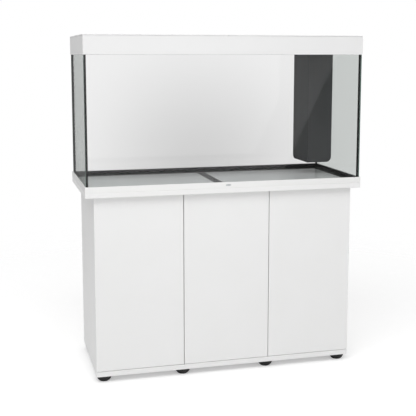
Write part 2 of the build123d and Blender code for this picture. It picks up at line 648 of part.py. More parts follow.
with BuildPart() as filter_box:
    add(filter_shell)
    front_edges = filter_box.faces().sort_by(Axis.Y)[0].edges().filter_by(Axis.Z)
    left_rear_edge = filter_box.faces().sort_by(Axis.X)[0].edges().filter_by(Axis.Z).sort_by(Axis.Y)[-1]
    fillet([*front_edges, left_rear_edge], FILTER_EDGE)
    add(front_chamber, mode=Mode.SUBTRACT)
    add(rear_chamber, mode=Mode.SUBTRACT)
    block(chamber_x, rear_chamber_y, (PUMP_SHELF_TOP, FILTER_TOP), mode=Mode.SUBTRACT)
    block(chamber_x, divider_y, (FILTER_TOP - DIVIDER_DROP, FILTER_TOP), mode=Mode.SUBTRACT)
    block(
        (chamber_x[0] + FLOW_SLOT_INSET, chamber_x[1] - FLOW_SLOT_INSET),
        divider_y,
        (chamber_floor, chamber_floor + FLOW_SLOT),
        mode=Mode.SUBTRACT,
    )
    for rib_x in (chamber_x[0] + RIB_FROM_SIDE, chamber_x[1] - RIB_FROM_SIDE):
        block(
            (rib_x - RIB / 2, rib_x + RIB / 2),
            (filter_y[0] + RIB_FROM_END, divider_y[0] - RIB_FROM_END),
            (chamber_floor - FILTER_WALL / 2, rib_top),
        )
    heater_hole = (HEATER_X, HEATER_Y, PUMP_SHELF_TOP - FILTER_WALL)
    drill([heater_hole], UP, HEATER_RADIUS + HEATER_CLEARANCE, FILTER_WALL)
    outlet_hole = (filter_x[0], PUMP_Y, PUMP_Z)
    drill([outlet_hole], (1, 0, 0), OUTLET_RADIUS + OUTLET_CLEARANCE, FILTER_WALL)
    slot_centre = (filter_y[0] + divider_y[0]) / 2
    slot_top = FILTER_TOP - SLOT_DROP
    for step in range(INTAKE_SLOTS):
        slot_y = slot_centre + (step - (INTAKE_SLOTS - 1) / 2) * SLOT_PITCH
        block(
            (filter_x[0] - OVERCUT, chamber_x[0] + OVERCUT),
            (slot_y - SLOT_WIDTH / 2, slot_y + SLOT_WIDTH / 2),
            (slot_top - SLOT_HEIGHT, slot_top),
            mode=Mode.SUBTRACT,
        )
write(filter_box, "filter_box")

PAD_RADIUS = 10.0
PAD_FROM_BOTTOM = 120.0
PAD_FROM_TOP = 90.0
pad_x = (filter_x[0] + filter_x[1]) / 2
pad_y = (filter_y[0] + filter_y[1]) / 2
with BuildPart() as filter_pads:
    for level in (FILTER_BOTTOM + PAD_FROM_BOTTOM, FILTER_TOP - PAD_FROM_TOP):
        rod((pad_x, filter_y[1], level), (0, 1, 0), PAD_RADIUS, PAD)
        rod((filter_x[1], pad_y, level), (1, 0, 0), PAD_RADIUS, PAD)
write(filter_pads, "filter_pads")

# The basket is open at the top and lets the water through windows in its front and rear walls.
BASKET_GAP = 2.0
BASKET_WALL = 3.0
BASKET_TOP = 1380.0
SPONGE_DROP = 12.0  # of the foam's top, below the basket's rim
SPONGE_EDGE = 2.0
WINDOW_ROWS = 8
WINDOW_WIDTH = 24.0
WINDOW_SHARE = 0.6  # of each row's height that is open
WINDOW_COLUMNS = (0.3, 0.7)  # their centres, as shares of the basket's width
basket_x = (chamber_x[0] + BASKET_GAP, chamber_x[1] - BASKET_GAP)
basket_y = (front_chamber_y[0] + BASKET_GAP, front_chamber_y[1] - BASKET_GAP)
sponge_x = (basket_x[0] + BASKET_WALL, basket_x[1] - BASKET_WALL)
sponge_y = (basket_y[0] + BASKET_WALL, basket_y[1] - BASKET_WALL)
sponge_z = (rib_top + BASKET_WALL, BASKET_TOP - SPONGE_DROP)

with BuildPart() as filter_basket:
    block(basket_x, basket_y, (rib_top, BASKET_TOP))
    block(sponge_x, sponge_y, (sponge_z[0], BASKET_TOP), mode=Mode.SUBTRACT)
    row_height = (sponge_z[1] - sponge_z[0]) / WINDOW_ROWS
    window_height = WINDOW_SHARE * row_height
    for row in range(WINDOW_ROWS):
        window_low = sponge_z[0] + row * row_height + (row_height - window_height) / 2
        for column in WINDOW_COLUMNS:
            middle = basket_x[0] + column * (basket_x[1] - basket_x[0])
            block(
                (middle - WINDOW_WIDTH / 2, middle + WINDOW_WIDTH / 2),
                (basket_y[0] - OVERCUT, basket_y[1] + OVERCUT),
                (window_low, window_low + window_height),
                mode=Mode.SUBTRACT,
            )
write(filter_basket, "filter_basket")

with BuildPart() as filter_sponge:
    block(sponge_x, sponge_y, sponge_z)
    fillet(filter_sponge.edges().group_by(Axis.Z)[-1], SPONGE_EDGE)
write(filter_sponge, "filter_sponge")

# ---- Pump, impeller and outlet nozzle -------------------------------------------------------------
# The pump lies on its shelf with its axis along X: an outlet tube out through the box's left wall, a
# flat volute round the impeller, and the motor, which holds the impeller's shaft in a blind bore.
VOLUTE_RADIUS = 20.0
VOLUTE_WALL = 3.0
VOLUTE_END_WALL = 2.0
MOTOR_RADIUS = 22.0
MOTOR_EDGE = 4.0
FOOT_HALF_WIDTH = 14.0
FOOT_SETBACK = 6.0
OUTLET_BORE = 8.0
OUTLET_REACH = 16.0  # beyond the filter's left wall
SHAFT_RADIUS = 2.0
SHAFT_BORE_DEPTH = 25.0
SHAFT_END_GAP = 3.0
BLADES = 4
BLADE = 2.0
BLADE_RADIUS = 14.0
BLADE_END_GAP = 1.5
volute_x = (filter_x[0] + 34.0, filter_x[0] + 50.0)
motor_end = filter_x[1] - 15.0
outlet_start = filter_x[0] - OUTLET_REACH
impeller_x = (volute_x[0] + VOLUTE_END_WALL, volute_x[1] - VOLUTE_END_WALL)
impeller_width = impeller_x[1] - impeller_x[0]
ALONG = (1, 0, 0)


def on_pump_axis(x):
    """The point on the pump's axis at a given X."""
    return (x, PUMP_Y, PUMP_Z)


with BuildPart() as pump_body:
    rod(on_pump_axis(volute_x[0]), ALONG, VOLUTE_RADIUS, volute_x[1] - volute_x[0])
    rod(on_pump_axis(volute_x[1]), ALONG, MOTOR_RADIUS, motor_end - volute_x[1])
    fillet(pump_body.edges().sort_by(Axis.X)[-1], MOTOR_EDGE)
    rod(on_pump_axis(outlet_start), ALONG, OUTLET_RADIUS, volute_x[0] - outlet_start)
    block(
        (volute_x[0], motor_end - FOOT_SETBACK),
        (PUMP_Y - FOOT_HALF_WIDTH, PUMP_Y + FOOT_HALF_WIDTH),
        (PUMP_SHELF_TOP, PUMP_Z - VOLUTE_RADIUS / 2),
    )
    drill([on_pump_axis(outlet_start)], ALONG, OUTLET_BORE, impeller_x[0] - outlet_start)
    drill([on_pump_axis(impeller_x[0])], ALONG, VOLUTE_RADIUS - VOLUTE_WALL, impeller_width)
    drill([on_pump_axis(impeller_x[1])], ALONG, SHAFT_RADIUS + PIN_CLEARANCE, SHAFT_BORE_DEPTH)
write(pump_body, "pump_body")

with BuildPart() as impeller:
    hub_start = impeller_x[0] + BLADE_END_GAP
    hub_length = impeller_width - 2 * BLADE_END_GAP
    rod(on_pump_axis(hub_start), ALONG, 2 * SHAFT_RADIUS, hub_length)
    shaft_length = impeller_x[1] + SHAFT_BORE_DEPTH - SHAFT_END_GAP - hub_start
    rod(on_pump_axis(hub_start), ALONG, SHAFT_RADIUS, shaft_length)
    for blade in range(BLADES):
        with Locations(Plane(origin=on_pump_axis(hub_start + hub_length / 2), z_dir=ALONG)):
            with Locations(Rotation(0, 0, blade * 360 / BLADES)):
                Box(BLADE_RADIUS, BLADE, hub_length, align=(Align.MIN, Align.CENTER, Align.CENTER))
write(impeller, "impeller")

# A nozzle turns on the outlet tube and sends the water towards the front.
NOZZLE_RADIUS = 13.0
NOZZLE_EDGE = 3.0
NOZZLE_SLEEVE = 14.0
NOZZLE_REACH = 32.0
MOUTH_INSET = 11.0  # of the mouth's axis, from the nozzle's blind end
nozzle_end = outlet_start + NOZZLE_SLEEVE
nozzle_start = nozzle_end - 2 * NOZZLE_RADIUS
mouth_x = nozzle_start + MOUTH_INSET

with BuildPart() as outlet_nozzle:
    rod(on_pump_axis(nozzle_start), ALONG, NOZZLE_RADIUS, nozzle_end - nozzle_start)
    fillet(outlet_nozzle.edges().sort_by(Axis.X)[0], NOZZLE_EDGE)
    rod(on_pump_axis(mouth_x), (0, -1, 0), OUTLET_RADIUS, NOZZLE_REACH)
    drill([on_pump_axis(mouth_x)], (0, -1, 0), OUTLET_BORE, NOZZLE_REACH)
    drill([on_pump_axis(mouth_x)], ALONG, OUTLET_RADIUS + PIN_CLEARANCE, nozzle_end - mouth_x)
write(outlet_nozzle, "outlet_nozzle")

# ---- Heater -----------------------------------------------------------------------------------------
# A sealed glass tube hangs from its cap through the pump shelf; a fluted knob in the cap sets it.
HEATER_LENGTH = 340.0
HEATER_END_WALL = 1.0
HEATER_CAP_RADIUS = 13.0
HEATER_CAP = 24.0
HEATER_CAP_EDGE = 1.0
KNOB_RADIUS = 9.0
KNOB = 12.0
KNOB_EDGE = 0.8
KNOB_GAP = 0.3
KNOB_STEM = 8.0
KNOB_STEM_RADIUS = 2.5
KNOB_FLUTES = 12
FLUTE_RADIUS = 1.2
FLUTE_OUTSET = 0.6  # of a flute's centre, beyond the knob's rim
heater_place = (HEATER_X, HEATER_Y, PUMP_SHELF_TOP)
cap_place = (HEATER_X, HEATER_Y, PUMP_SHELF_TOP + HEATER_CAP)
knob_place = (HEATER_X, HEATER_Y, PUMP_SHELF_TOP + HEATER_CAP + KNOB_GAP)

with BuildPart() as heater_tube:
    rod(heater_place, DOWN, HEATER_RADIUS, HEATER_LENGTH)
    fillet(heater_tube.edges().sort_by(Axis.Z)[0], HEATER_RADIUS - HEATER_END_WALL)
write(heater_tube, "heater_tube")

with BuildPart() as heater_cap:
    rod(heater_place, UP, HEATER_CAP_RADIUS, HEATER_CAP)
    chamfer(heater_cap.edges().sort_by(Axis.Z)[-1], HEATER_CAP_EDGE)
    drill([cap_place], DOWN, KNOB_STEM_RADIUS + PIN_CLEARANCE, KNOB_STEM + OVERCUT)
write(heater_cap, "heater_cap")

with BuildPart() as heater_knob:
    rod(knob_place, UP, KNOB_RADIUS, KNOB)
    chamfer(heater_knob.edges().sort_by(Axis.Z)[-1], KNOB_EDGE)
    with Locations(knob_place):
        with PolarLocations(KNOB_RADIUS + FLUTE_OUTSET, KNOB_FLUTES):
            Cylinder(FLUTE_RADIUS, KNOB + OVERCUT, align=FROM_BASE, mode=Mode.SUBTRACT)
    rod(knob_place, DOWN, KNOB_STEM_RADIUS, KNOB_STEM)
write(heater_knob, "heater_knob")
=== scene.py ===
"""An aquarium on its cabinet: finishes, small fittings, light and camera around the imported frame."""

import math

import bmesh
import bpy
import numpy as np
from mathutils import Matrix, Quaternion, Vector


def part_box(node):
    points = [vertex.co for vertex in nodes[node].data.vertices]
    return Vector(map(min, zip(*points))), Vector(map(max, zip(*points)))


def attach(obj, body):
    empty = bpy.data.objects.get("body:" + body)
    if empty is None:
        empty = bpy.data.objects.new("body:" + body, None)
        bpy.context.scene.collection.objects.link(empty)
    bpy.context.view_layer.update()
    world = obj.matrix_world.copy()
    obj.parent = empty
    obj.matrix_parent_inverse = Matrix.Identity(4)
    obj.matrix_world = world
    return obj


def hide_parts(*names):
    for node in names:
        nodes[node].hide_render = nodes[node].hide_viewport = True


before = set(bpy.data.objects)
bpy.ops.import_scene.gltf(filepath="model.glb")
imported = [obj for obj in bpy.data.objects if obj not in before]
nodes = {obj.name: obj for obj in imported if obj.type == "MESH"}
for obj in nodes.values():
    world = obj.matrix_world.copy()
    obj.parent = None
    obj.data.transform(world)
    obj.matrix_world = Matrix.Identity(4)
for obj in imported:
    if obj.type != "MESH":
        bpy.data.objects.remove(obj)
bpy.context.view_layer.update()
ROOT = "tank_and_cabinet"
MM = 0.001

# ---- Cabinet boards -------------------------------------------------------------------------
# Chipboard faced with white melamine paper, pressed against a finely pearled plate, so the face is
# satin with a pearled skin just under 1 mm across; its edges are banded in the same white and eased.
BOARD_WHITE = "#F4F4F4"
BOARD_SHADE = "#F1F1F0"
BOARD_PATCH_MM = 180.0
BOARD_PEARL_MM = 0.9
BOARD_PEARL_HEIGHT_MM = 0.02


def linear(hex_colour):
    """A colour given as sRGB hex, turned to the linear values that shaders use."""
    parts = [int(hex_colour[i : i + 2], 16) / 255 for i in (1, 3, 5)]
    return tuple(c / 12.92 if c <= 0.04045 else ((c + 0.055) / 1.055) ** 2.4 for c in parts) + (1.0,)


def add_node(tree, kind, settings=None, links=None):
    """Adds one shader node, sets its properties and input values, and links its inputs."""
    node = tree.nodes.new("ShaderNode" + kind)
    for key, value in (settings or {}).items():
        if isinstance(key, int) or key in node.inputs:
            node.inputs[key].default_value = value
        else:
            setattr(node, key, value)
    for key, source in (links or {}).items():
        tree.links.new(source, node.inputs[key])
    return node


def new_material(name):
    """An empty node material and its tree, with an output node waiting for a surface."""
    material = bpy.data.materials.new(name)
    material.use_nodes = True
    material.node_tree.nodes.clear()
    return material, material.node_tree


def finish_material(tree, shader):
    """Links a shader to the material's output."""
    add_node(tree, "OutputMaterial", links={"Surface": shader.outputs[0]})


def mottled(tree, place, low, high, size_mm):
    """A colour that drifts between two near tones over patches of the given size."""
    drift = add_node(
        tree,
        "TexNoise",
        {"Scale": 1 / (size_mm * MM), "Detail": 3.0, "Roughness": 0.5},
        {"Vector": place.outputs["Object"]},
    )
    blend = add_node(tree, "Mix", {"data_type": "RGBA"}, {0: drift.outputs["Fac"]})
    blend.inputs[6].default_value = linear(low)
    blend.inputs[7].default_value = linear(high)
    return blend.outputs[2]


def grained(tree, place, grain_mm, height_mm):
    """The surface normal of a fine moulded or pressed grain of the given width and height."""
    grain = add_node(
        tree,
        "TexNoise",
        {"Scale": 1 / (grain_mm * MM), "Detail": 2.0, "Roughness": 0.6},
        {"Vector": place.outputs["Object"]},
    )
    return add_node(
        tree,
        "Bump",
        {"Strength": 1.0, "Distance": height_mm * MM},
        {"Height": grain.outputs["Fac"]},
    ).outputs["Normal"]


def solid_finish(name, low, high, patch_mm, grain_mm, height_mm, shader_values, rough=None):
    """A material of one body colour, which drifts from low to high over patches of patch_mm, under a
    grain of grain_mm and height_mm; rough gives the least and greatest roughness where handling has
    left some patches shinier than others."""
    material, tree = new_material(name)
    place = add_node(tree, "TexCoord")
    shader = add_node(
        tree,
        "BsdfPrincipled",
        shader_values,
        {
            "Base Color": mottled(tree, place, low, high, patch_mm),
            "Normal": grained(tree, place, grain_mm, height_mm),
        },
    )
    if rough:
        wear = add_node(
            tree,
            "TexNoise",
            {"Scale": 2 / (patch_mm * MM), "Detail": 4.0, "Roughness": 0.6},
            {"Vector": place.outputs["Object"]},
        )
        spread = add_node(
            tree,
            "MapRange",
            {"To Min": rough[0], "To Max": rough[1]},
            {"Value": wear.outputs["Fac"]},
        )
        tree.links.new(spread.outputs["Result"], shader.inputs["Roughness"])
    finish_material(tree, shader)
    return material


def give(material, *names):
    """Puts a finish on CAD nodes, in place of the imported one."""
    for name in names:
        slots = nodes[name].material_slots
        if not slots:
            nodes[name].data.materials.append(material)
        for slot in slots:
            slot.material = material


melamine = solid_finish(
    "white_melamine_board",
    BOARD_SHADE,
    BOARD_WHITE,
    BOARD_PATCH_MM,
    BOARD_PEARL_MM,
    BOARD_PEARL_HEIGHT_MM,
    {"IOR": 1.5, "Coat Weight": 0.1, "Coat Roughness": 0.3},
    rough=(0.36, 0.5),
)
BOARDS = [
    "top_board",
    "bottom_board",
    "side_panel_left",
    "side_panel_right",
    "partition_left",
    "partition_right",
    "shelf_left",
    "shelf_right",
    "door_left",
    "door_middle",
    "door_right",
]
give(melamine, *BOARDS)

# ---- Back panels ----------------------------------------------------------------------------
# Thin hardboard, painted white on both faces; the paint is flatter than melamine and shows the
# felted fibres underneath.
hardboard = solid_finish(
    "painted_hardboard",
    "#E2E1DC",
    "#E8E7E3",
    60.0,
    1.6,
    0.05,
    {"Roughness": 0.6, "IOR": 1.48},
)
give(hardboard, "back_panel_left", "back_panel_middle", "back_panel_right")

# ---- Feet -----------------------------------------------------------------------------------
# Bowl-shaped glides, injection moulded in black polypropylene with a spark-eroded matt skin.
polypropylene = solid_finish(
    "black_polypropylene",
    "#141414",
    "#1B1B1B",
    12.0,
    0.8,
    0.04,
    {"Roughness": 0.5, "IOR": 1.49},
)
give(polypropylene, "front_feet", "rear_feet")

# ---- Zinc-plated steel ----------------------------------------------------------------------
# Screws, shelf pins, hinge pins and flap pins: turned steel with a bright zinc plating, whose
# passivated skin has a faint cloudy spangle.
zinc = solid_finish(
    "zinc_plated_steel",
    "#B9BBBD",
    "#CDCFD1",
    3.0,
    0.5,
    0.005,
    {"Metallic": 1.0, "Roughness": 0.32},
)
give(zinc, "foot_screws", "shelf_pins", "door_pins", "flap_pins")

# ---- Dowels, bushes and push latches ----------------------------------------------------------
# Beech dowels join the boards; nylon bushes line the doors' pivots; the latches are moulded in
# grey ABS with a softer tip.
beech = solid_finish(
    "beech_dowel", "#B98F5F", "#D3AC7C", 4.0, 0.6, 0.03, {"Roughness": 0.65, "IOR": 1.5}
)
give(beech, "carcass_dowels")
nylon = solid_finish(
    "natural_nylon",
    "#E3E1D8",
    "#EAE8E0",
    5.0,
    0.4,
    0.01,
    {"Roughness": 0.4, "IOR": 1.53, "Subsurface Weight": 0.1},
)
give(nylon, "door_bushes_left", "door_bushes_middle", "door_bushes_right")
latch_grey = solid_finish(
    "grey_abs", "#8F9193", "#999B9D", 8.0, 0.5, 0.02, {"Roughness": 0.45, "IOR": 1.53}
)
give(latch_grey, "latch_bodies", "latch_plunger_left", "latch_plunger_middle", "latch_plunger_right")

# ---- Cover caps -------------------------------------------------------------------------------
# White polyethylene caps pressed over the cam fittings inside the bays: each is a thin turned disc
# with a rounded rim, standing a millimetre proud of the board, two at each end of an upright.
CAP_PROFILE = ((8.5, 0.0), (8.5, 0.5), (8.1, 0.9), (6.5, 1.1), (0.4, 1.15))  # radius, height, mm
CAP_FROM_END = 0.034  # these three are distances from the board's edges, in metres
CAP_FROM_FRONT = 0.09
CAP_FROM_REAR = 0.11
polyethylene = solid_finish(
    "white_polyethylene", "#E4E4E2", "#EBEBE9", 6.0, 0.7, 0.01, {"Roughness": 0.45, "IOR": 1.51}
)
SHARP_FROM = math.radians(40)  # edges that turn more than this are shaded sharp


def mesh_piece(name, vertices, faces, material, body, slot_name):
    """Makes a smooth-shaded object from whole arrays, gives it a finish and lets it ride on a body."""
    mesh = bpy.data.meshes.new(name)
    mesh.from_pydata(np.asarray(vertices, float).tolist(), [], list(faces))
    mesh.polygons.foreach_set("use_smooth", np.ones(len(mesh.polygons), bool))
    mesh.set_sharp_from_angle(angle=SHARP_FROM)
    mesh.update()
    mesh.materials.append(material)
    piece = bpy.data.objects.new(name, mesh)
    bpy.context.scene.collection.objects.link(piece)
    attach(piece, body)
    return piece


def ring_faces(count_along, count_round, first=0):
    """Quads between rings of points, each ring closed on itself; the ends stay open."""
    i, j = np.meshgrid(np.arange(count_along - 1), np.arange(count_round), indexing="ij")
    k = (j + 1) % count_round
    near = i * count_round + first
    far = near + count_round
    return np.stack([near + j, near + k, far + k, far + j], -1).reshape(-1, 4)


def end_faces(count_along, count_round, first=0):
    """One face over each open end of a tube of rings."""
    start = np.arange(count_round)[::-1] + first
    end = np.arange(count_round) + (count_along - 1) * count_round + first
    return [start.tolist(), end.tolist()]


def join_tubes(tubes):
    """Several tubes of rings as one list of points and faces, with their ends closed."""
    points, faces, first = [], [], 0
    for tube_points, along, around in tubes:
        points.append(tube_points)
        faces += ring_faces(along, around, first).tolist() + end_faces(along, around, first)
        first += len(tube_points)
    return np.concatenate(points), faces


def recalculate(piece):
    """Turns every face of a closed mesh outwards."""
    shape = bmesh.new()
    shape.from_mesh(piece.data)
    bmesh.ops.recalc_face_normals(shape, faces=shape.faces)
    shape.to_mesh(piece.data)
    shape.free()


def turned(profile_mm, place, axis, around=24):
    """A turned shape: each radius and height in the profile gives a circle round the axis, at that
    height from the place: centre + radius (cos a, sin a), a from 0 to a full turn. The axis is X, Y
    or Z, either way."""
    radius, height = (np.asarray(profile_mm, float) * MM).T
    axis = np.asarray(axis, float)
    across = np.roll(axis, 1)
    angle = np.linspace(0, 2 * math.pi, around, endpoint=False)[:, None]
    circle = np.cos(angle) * across + np.sin(angle) * np.cross(axis, across)
    points = np.asarray(place, float) + height[:, None, None] * axis
    points = points + radius[:, None, None] * circle
    return points.reshape(-1, 3), len(radius), around


caps = []
for upright, faces_x in (
    ("side_panel_left", (1,)),
    ("partition_left", (-1, 1)),
    ("partition_right", (-1, 1)),
    ("side_panel_right", (-1,)),
):
    low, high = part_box(upright)
    for face_x in faces_x:
        x = high.x if face_x > 0 else low.x
        for y in (low.y + CAP_FROM_FRONT, high.y - CAP_FROM_REAR):
            for z in (low.z + CAP_FROM_END, high.z - CAP_FROM_END):
                caps.append(turned(CAP_PROFILE, (x, y, z), (face_x, 0, 0)))
cover_caps = mesh_piece("cover_caps", *join_tubes(caps), polyethylene, ROOT, "bush_plastic")
recalculate(cover_caps)

# ---- Door buffers and strike discs --------------------------------------------------------------
# Clear polyurethane bumpers, cast as soft domes, stick to each door's free edge and meet the
# partition; a thin zinc-plated disc takes the push latch's plunger.
BUFFER_PROFILE = ((3.4, 0.0), (3.4, 0.5), (3.0, 1.1), (2.1, 1.6), (1.0, 1.8), (0.2, 1.85))
BUFFER_FROM_EDGE = 0.0048
BUFFER_FROM_END = 0.03
STRIKE_PROFILE = ((7.0, 0.0), (7.0, 0.1), (6.7, 0.2), (0.4, 0.2))
clear_rubber = solid_finish(
    "clear_polyurethane",
    "#D9DCDC",
    "#E2E5E5",
    2.0,
    0.4,
    0.005,
    {"Roughness": 0.15, "IOR": 1.5, "Transmission Weight": 0.6},
)
for side, free_edge in (("left", 1), ("middle", 1), ("right", -1)):
    low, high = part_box("door_" + side)
    edge_x = high.x if free_edge > 0 else low.x
    buffer_x = edge_x - free_edge * BUFFER_FROM_EDGE
    buffers = [
        turned(BUFFER_PROFILE, (buffer_x, high.y, z), (0, 1, 0), 16)
        for z in (low.z + BUFFER_FROM_END, high.z - BUFFER_FROM_END)
    ]
    body = "door_" + side
    buffer_piece = mesh_piece(
        "door_buffers_" + side, *join_tubes(buffers), clear_rubber, body, "bush_plastic"
    )
    recalculate(buffer_piece)
    plunger_low, plunger_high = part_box("latch_plunger_" + side)
    plunger_middle = (plunger_low + plunger_high) / 2
    strike = turned(STRIKE_PROFILE, (plunger_middle.x, high.y, plunger_middle.z), (0, 1, 0))
    strike_piece = mesh_piece("strike_disc_" + side, *join_tubes([strike]), zinc, body, "steel")
    recalculate(strike_piece)

# ---- Base trim and badge ----------------------------------------------------------------------
# White PVC angle, extruded, cut to a mitre at the corners and clipped round the black frame; the
# die leaves a smooth satin skin. A plain oval of brushed aluminium is let into its front.
extruded_pvc = solid_finish(
    "white_extruded_pvc",
    "#EFEFEE",
    "#F2F2F1",
    90.0,
    1.2,
    0.006,
    {"Roughness": 0.3, "IOR": 1.53, "Coat Weight": 0.2, "Coat Roughness": 0.15},
)
give(extruded_pvc, "base_trim")
BRUSH_LINE_MM = 0.15
BRUSH_DEPTH_MM = 0.01
BRUSH_LENGTH = 40  # how many times longer than wide a brush line is
brushed_badge, badge_tree = new_material("brushed_aluminium")
badge_place = add_node(badge_tree, "TexCoord")
along_brush = add_node(
    badge_tree,
    "Mapping",
    {"Scale": (1 / BRUSH_LENGTH, 1, 1)},
    {"Vector": badge_place.outputs["Object"]},
)
brush_lines = add_node(
    badge_tree,
    "TexNoise",
    {"Scale": 1 / (BRUSH_LINE_MM * MM), "Detail": 2.0},
    {"Vector": along_brush.outputs["Vector"]},
)
brush_relief = add_node(
    badge_tree,
    "Bump",
    {"Distance": BRUSH_DEPTH_MM * MM},
    {"Height": brush_lines.outputs["Fac"]},
)
badge_shader = add_node(
    badge_tree,
    "BsdfPrincipled",
    {"Base Color": linear("#BEC0C2"), "Metallic": 1.0, "Roughness": 0.36},
    {"Normal": brush_relief.outputs["Normal"]},
)
finish_material(badge_tree, badge_shader)
give(brushed_badge, "badge")

# ---- Base frame -------------------------------------------------------------------------------
# Black ABS angle under and around the glass, with a cross bar beneath the floor pane; satin, with a
# fine moulded grain.
black_abs = solid_finish(
    "black_abs",
    "#17181A",
    "#1D1E20",
    30.0,
    0.9,
    0.03,
    {"Roughness": 0.4, "IOR": 1.53},
)
give(black_abs, "base_frame")

# ---- Glass panes ------------------------------------------------------------------------------
# Float glass with ground edges. Its faces pass light almost whole and mirror more at a glancing
# view; the side panes are drawn darker, with painted shade in their through colour. The iron in it
# shows as green where one looks in at an edge.
GLASS_EDGE = "#4F7B6D"
GLASS_IOR = 1.52
HEAD_ON_MIRROR = 0.015  # at each of a pane's two faces


def float_glass(name, face_axis, through_colour, glance_mirror):
    """Clear panes whose faces look along face_axis, and whose narrow edges are green and ground.
    A face mirrors by Schlick's rule: a few percent head on, and more with the fifth power of the
    glance, up to glance_mirror."""
    material, tree = new_material(name)
    mirror = add_node(tree, "BsdfAnisotropic", {"Roughness": 0.01})
    through = add_node(tree, "BsdfTransparent", {"Color": linear(through_colour)})
    glance = add_node(tree, "LayerWeight", {"Blend": 0.5})
    fifth = add_node(tree, "Math", {"operation": "POWER", 1: 5.0}, {0: glance.outputs["Facing"]})
    shine = add_node(
        tree,
        "Math",
        {"operation": "MULTIPLY_ADD", 1: glance_mirror - HEAD_ON_MIRROR, 2: HEAD_ON_MIRROR},
        {0: fifth.outputs[0]},
    )
    face = add_node(
        tree,
        "MixShader",
        links={0: shine.outputs[0], 1: through.outputs[0], 2: mirror.outputs[0]},
    )
    edge = add_node(
        tree,
        "BsdfPrincipled",
        {"Base Color": linear(GLASS_EDGE), "Roughness": 0.35, "IOR": GLASS_IOR},
    )
    facing = add_node(tree, "NewGeometry")
    split = add_node(tree, "SeparateXYZ", links={"Vector": facing.outputs["True Normal"]})
    size = add_node(tree, "Math", {"operation": "ABSOLUTE"}, {0: split.outputs[face_axis]})
    is_edge = add_node(tree, "Math", {"operation": "LESS_THAN", 1: 0.5}, {0: size.outputs[0]})
    whole = add_node(
        tree,
        "MixShader",
        links={0: is_edge.outputs[0], 1: face.outputs[0], 2: edge.outputs[0]},
    )
    finish_material(tree, whole)
    return material


give(float_glass("float_glass_front", "Y", "#FEFEFE", 1.0), "front_pane", "rear_pane")
# The side panes' through colour is darker than the front's: painted shade, for the darker look that
# they have at a glancing view.
give(float_glass("float_glass_side_painted_shade", "X", "#EDEFEE", 0.38), "side_pane_left", "side_pane_right")
# The floor pane lies close over the white board, so little of its mirror shows.
give(float_glass("float_glass_floor", "Z", "#FDFEFE", 0.35), "floor_pane")

# ---- Silicone ---------------------------------------------------------------------------------
# Black silicone, pressed out between the panes and smoothed with a finger into a small concave bead
# along each inner corner; it sets rubbery and glossy, with faint ripples along the tooled bead.
BEAD_LEG = 0.0022
BEAD_RIPPLE = 0.00015
BEAD_RIPPLE_LENGTH = 0.04
BEAD_STEPS = 61  # rings along a bead
BEAD_ARC_STEPS = 7
silicone = solid_finish(
    "black_silicone",
    "#08090A",
    "#101112",
    25.0,
    3.0,
    0.05,
    {"Roughness": 0.25, "IOR": 1.41},
)
give(silicone, "corner_seams", "floor_seams", "filter_pads")


def bead(start, end, side_a, side_b, leg):
    """A concave fillet along a corner: its section is the corner, a leg along each wall, and a
    quarter circle hollowed back towards the corner; the leg swells and shrinks in a slow sine."""
    start, end, side_a, side_b = (np.asarray(v, float) for v in (start, end, side_a, side_b))
    t = np.linspace(0, 1, BEAD_STEPS)
    length = np.linalg.norm(end - start)
    reach = leg + BEAD_RIPPLE * np.sin(2 * math.pi * t * length / BEAD_RIPPLE_LENGTH)
    angle = np.linspace(0, math.pi / 2, BEAD_ARC_STEPS)
    u = np.concatenate([[0.0], 1 - np.sin(angle)])
    v = np.concatenate([[0.0], 1 - np.cos(angle)])
    spine = start + t[:, None] * (end - start)
    section = u[:, None] * side_a + v[:, None] * side_b
    points = spine[:, None, :] + reach[:, None, None] * section[None, :, :]
    return points.reshape(-1, 3), len(t), len(u)


front_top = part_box("front_pane")[1]
left_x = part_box("side_pane_left")[1].x
right_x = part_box("side_pane_right")[0].x
front_y = front_top.y
rear_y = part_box("rear_pane")[0].y
z_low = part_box("floor_pane")[1].z
z_high = front_top.z
rise = (0, 0, 1)
beads = []
for x, into_x in ((left_x, (1, 0, 0)), (right_x, (-1, 0, 0))):
    for y, into_y in ((front_y, (0, 1, 0)), (rear_y, (0, -1, 0))):
        beads.append(bead((x, y, z_low), (x, y, z_high), into_x, into_y, BEAD_LEG))
    beads.append(bead((x, front_y, z_low), (x, rear_y, z_low), into_x, rise, BEAD_LEG))
for y, into_y in ((front_y, (0, 1, 0)), (rear_y, (0, -1, 0))):
    beads.append(bead((left_x, y, z_low), (right_x, y, z_low), into_y, rise, BEAD_LEG))
inner_beads = mesh_piece("inner_beads", *join_tubes(beads), silicone, ROOT, "silicone")
recalculate(inner_beads)

# ---- Hood -------------------------------------------------------------------------------------
# White ABS, injection moulded: a skirt that drops over the top of the glass, a ledge, two rails and
# four flaps. The tool's skin is a fine satin grain, a little coarser on the flaps' tops.
hood_abs = solid_finish(
    "white_abs_hood",
    "#E6E6E6",
    "#E9E9E9",
    150.0,
    1.0,
    0.012,
    {"IOR": 1.53, "Coat Weight": 0.1, "Coat Roughness": 0.25},
    rough=(0.3, 0.42),
)
give(hood_abs, "hood_skirt", "hood_ledge", "hood_rails", "light_housing", "light_end_caps")
FLAPS = ("front_flap_left", "front_flap_right", "rear_flap_left", "rear_flap_right")
flap_abs = solid_finish(
    "white_abs_flap",
    "#E5E5E5",
    "#E8E8E8",
    150.0,
    1.4,
    0.03,
    {"IOR": 1.53},
    rough=(0.38, 0.5),
)
give(flap_abs, *FLAPS)

